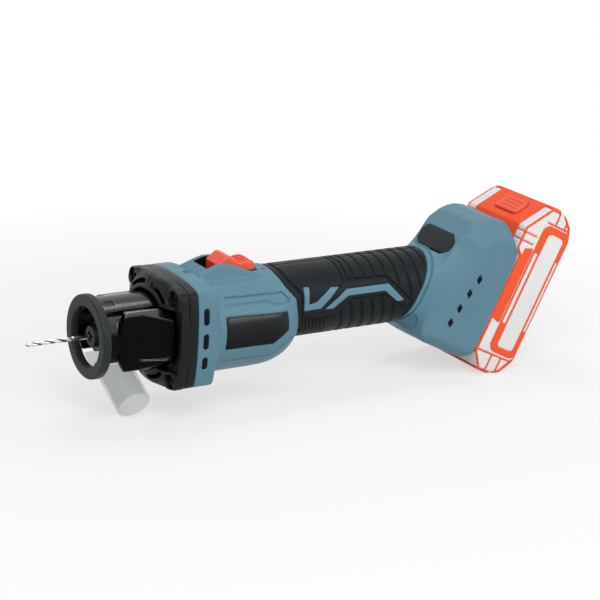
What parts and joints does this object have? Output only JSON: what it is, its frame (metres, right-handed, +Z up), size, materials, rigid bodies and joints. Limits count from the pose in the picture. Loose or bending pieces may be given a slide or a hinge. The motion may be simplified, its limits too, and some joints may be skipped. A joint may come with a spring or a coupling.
{
  "type": "drywall cut out tool",
  "caption": "Cordless spiral-saw for drywall: straight grip behind a motor barrel, collet with spiral bit, round depth guide, dust chute, slide switch and tilted slide-on battery pack.",
  "frame": {"origin": "on the surface the tool rests on, under the middle of its length and width", "axes": "+X along the spindle from bit to battery pack, +Y to the tool's right side, +Z up"},
  "size_m": [0.4338, 0.08, 0.1271],
  "materials": {
    "bit_steel": "ground",
    "steel": "turned",
    "dark_steel": "blackened, satin",
    "lamination": "bare laminations",
    "magnet": "coated",
    "copper": "enamelled wire",
    "board_green": "solder mask",
    "black_gloss": "polished",
    "black_plastic": "fine grain",
    "guide_grey": "satin",
    "clear_plastic": "clear moulded plastic",
    "blue_grey": "fine grain",
    "soft_black": "soft moulded",
    "plate_dark": "satin",
    "orange": "satin",
    "pack_shell": "fine grain",
    "cell_wrap": "shrink wrap",
    "cast_aluminium": "die cast",
    "contact": "plated"
  },
  "bodies": {
    "housing": {"left_housing": "blue_grey", "right_housing": "blue_grey", "left_grip": "soft_black", "right_grip": "soft_black", "left_stripes": "blue_grey", "right_stripes": "blue_grey", "side_plate": "plate_dark", "front_bearing": "steel", "rear_bearing": "steel", "rear_bearing_cap": "black_plastic", "stator_core": "lamination", "stator_coils": "copper", "motor_board": "board_green", "bearing_plate": "black_plastic", "front_cover": "black_plastic", "cover_screws": "dark_steel", "guide_holder": "black_gloss", "dust_chute": "clear_plastic", "switch_body": "black_plastic", "controller": "cast_aluminium", "button_board": "board_green", "terminal_block": "black_plastic", "terminal_blades": "contact", "housing_screws": "dark_steel"},
    "spindle": {"spindle": "steel", "collet": "steel", "spiral_bit": "bit_steel", "rotor_core": "lamination", "rotor_magnets": "magnet", "cooling_fan": "black_plastic"},
    "collet_nut": {"collet_nut": "dark_steel"},
    "depth_guide": {"guide_foot": "guide_grey", "guide_arm": "black_gloss"},
    "power_switch": {"switch_slider": "orange", "switch_link": "black_plastic"},
    "mode_button": {"mode_button": "black_plastic"},
    "battery_pack": {"pack_top_case": "pack_shell", "pack_base_case": "pack_shell", "pack_trim": "orange", "pack_cells": "cell_wrap", "cell_holders": "black_plastic", "pack_board": "board_green", "pack_contacts": "contact", "pack_screws": "dark_steel"},
    "latch_button": {"latch_button": "orange"}
  },
  "joints": [
    {"name": "spindle_spin", "type": "hinge", "parent": "housing", "child": "spindle", "pos_m": [-0.07286, 0, 0.06141], "axis": [1, 0, 0], "continuous": true},
    {"name": "collet_nut_turn", "type": "hinge", "parent": "spindle", "child": "collet_nut", "pos_m": [-0.16086, 0, 0.06141], "axis": [1, 0, 0], "range_deg": [0, 180]},
    {"name": "depth_guide_slide", "type": "slide", "parent": "housing", "child": "depth_guide", "axis": [-1, 0, 0], "range_m": [0, 0.015]},
    {"name": "power_switch_slide", "type": "slide", "parent": "housing", "child": "power_switch", "axis": [-1, 0, 0], "range_m": [0, 0.008]},
    {"name": "mode_button_press", "type": "slide", "parent": "housing", "child": "mode_button", "axis": [0.9026, 0, -0.4305], "range_m": [0, 0.0008], "stiffness_N_per_m": 600, "springref_m": -0.0008},
    {"name": "battery_pack_slide", "type": "slide", "parent": "housing", "child": "battery_pack", "axis": [0.4305, 0, 0.9026], "range_m": [0, 0.09]},
    {"name": "latch_button_press", "type": "slide", "parent": "battery_pack", "child": "latch_button", "axis": [0.4255, 0, -0.905], "range_m": [0, 0.003], "stiffness_N_per_m": 400, "springref_m": -0.002}
  ]
}
